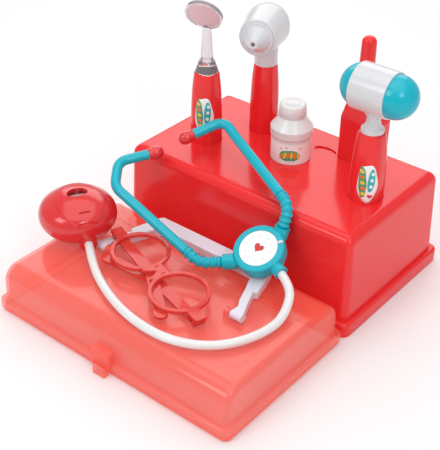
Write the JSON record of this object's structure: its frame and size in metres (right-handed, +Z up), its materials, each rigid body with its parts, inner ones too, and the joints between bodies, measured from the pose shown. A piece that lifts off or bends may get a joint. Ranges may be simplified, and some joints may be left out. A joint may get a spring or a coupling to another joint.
{
  "type": "toy doctor case",
  "caption": "Rounded red toy case standing on its rim with doctor's tools in its top, and a hinged see-through lid carrying a handle, glasses and a stethoscope.",
  "frame": {"origin": "bottom of the case's rim at the middle of the hinged side", "axes": "+X along the hinge, +Y to the back of the case, +Z up; the open lid lies towards -Y"},
  "size_m": [0.2859, 0.3385, 0.2478],
  "materials": {
    "red_plastic": "moulded, polished",
    "clear_red": "tinted see-through plastic",
    "white_plastic": "moulded, satin",
    "teal_plastic": "moulded, polished",
    "hose_vinyl": "soft white tube",
    "clear_plastic": "clear moulded plastic",
    "mirror_foil": "silvered disc",
    "label": "printed film",
    "pin_steel": "drawn wire",
    "dark_red": "dark see-through window",
    "bottle_plastic": "milky, slightly see-through"
  },
  "bodies": {
    "case": {"case_shell": "red_plastic", "hinge_pins": "pin_steel"},
    "lid": {"lid_shell": "clear_red", "lid_latch": "clear_red"},
    "handle": {"handle": "white_plastic"},
    "stethoscope": {"hub_base": "teal_plastic", "hub_cover": "teal_plastic", "hub_label": "label", "hub_tab": "white_plastic", "left_bellows": "teal_plastic", "right_bellows": "teal_plastic", "left_arm": "teal_plastic", "right_arm": "teal_plastic", "left_ear_tip": "red_plastic", "right_ear_tip": "red_plastic", "hose": "hose_vinyl", "chest_cover": "red_plastic", "chest_base": "red_plastic", "chest_window": "dark_red"},
    "glasses": {"glasses_front": "clear_red", "temple_pins": "pin_steel"},
    "left_temple": {"left_temple": "clear_red"},
    "right_temple": {"right_temple": "clear_red"},
    "mirror": {"mirror_handle": "red_plastic", "mirror_stem": "clear_plastic", "mirror_glass": "mirror_foil"},
    "otoscope": {"otoscope_handle": "red_plastic", "otoscope_head": "white_plastic", "otoscope_nose": "white_plastic"},
    "hammer": {"hammer_handle": "red_plastic", "hammer_neck": "white_plastic", "hammer_barrel": "white_plastic", "hammer_left_dome": "teal_plastic", "hammer_right_dome": "teal_plastic"},
    "thermometer": {"thermometer_body": "red_plastic", "thermometer_probe": "red_plastic"},
    "bottle": {"bottle": "bottle_plastic", "bottle_label": "label"},
    "bottle_cap": {"bottle_cap": "bottle_plastic"}
  },
  "joints": [
    {"name": "lid_hinge", "type": "hinge", "parent": "case", "child": "lid", "pos_m": [0, -0.0018, 0.002], "axis": [1, 0, 0], "range_deg": [0, 180]},
    {"name": "stethoscope_lift", "type": "slide", "parent": "case", "child": "stethoscope", "axis": [0, 0, 1], "range_m": [0, 0.44]},
    {"name": "glasses_lift", "type": "slide", "parent": "lid", "child": "glasses", "axis": [0, 0, 1], "range_m": [0, 0.44]},
    {"name": "handle_swing", "type": "hinge", "parent": "lid", "child": "handle", "pos_m": [0, -0.0853, 0.0505], "axis": [1, 0, 0], "range_deg": [0, 180]},
    {"name": "left_temple_fold", "type": "hinge", "parent": "glasses", "child": "left_temple", "pos_m": [-0.0729, -0.07026, 0.0568], "axis": [0.2974, 0.9548, 0], "range_deg": [0, 90]},
    {"name": "right_temple_fold", "type": "hinge", "parent": "glasses", "child": "right_temple", "pos_m": [0.05766, -0.11093, 0.04803], "axis": [-0.2974, -0.9548, 0], "range_deg": [0, 90]},
    {"name": "mirror_lift", "type": "slide", "parent": "case", "child": "mirror", "axis": [0, 0, 1], "range_m": [0, 0.12]},
    {"name": "otoscope_lift", "type": "slide", "parent": "case", "child": "otoscope", "axis": [0, 0, 1], "range_m": [0, 0.12]},
    {"name": "hammer_lift", "type": "slide", "parent": "case", "child": "hammer", "axis": [0, 0, 1], "range_m": [0, 0.12]},
    {"name": "thermometer_lift", "type": "slide", "parent": "case", "child": "thermometer", "axis": [0, 0, 1], "range_m": [0, 0.12]},
    {"name": "bottle_lift", "type": "slide", "parent": "case", "child": "bottle", "axis": [0, 0, 1], "range_m": [0, 0.12]},
    {"name": "cap_lift", "type": "slide", "parent": "bottle", "child": "bottle_cap", "axis": [0, 0, 1], "range_m": [0, 0.03]}
  ],
  "couplings": [
    {"joint": "glasses_lift", "follows": "stethoscope_lift", "ratio": 1},
    {"joint": "handle_swing", "follows": "stethoscope_lift", "rad_per_m": 7.1393},
    {"joint": "right_temple_fold", "follows": "stethoscope_lift", "rad_per_m": 3.5696},
    {"joint": "left_temple_fold", "follows": "stethoscope_lift", "rad_per_m": 1.7848}
  ]
}
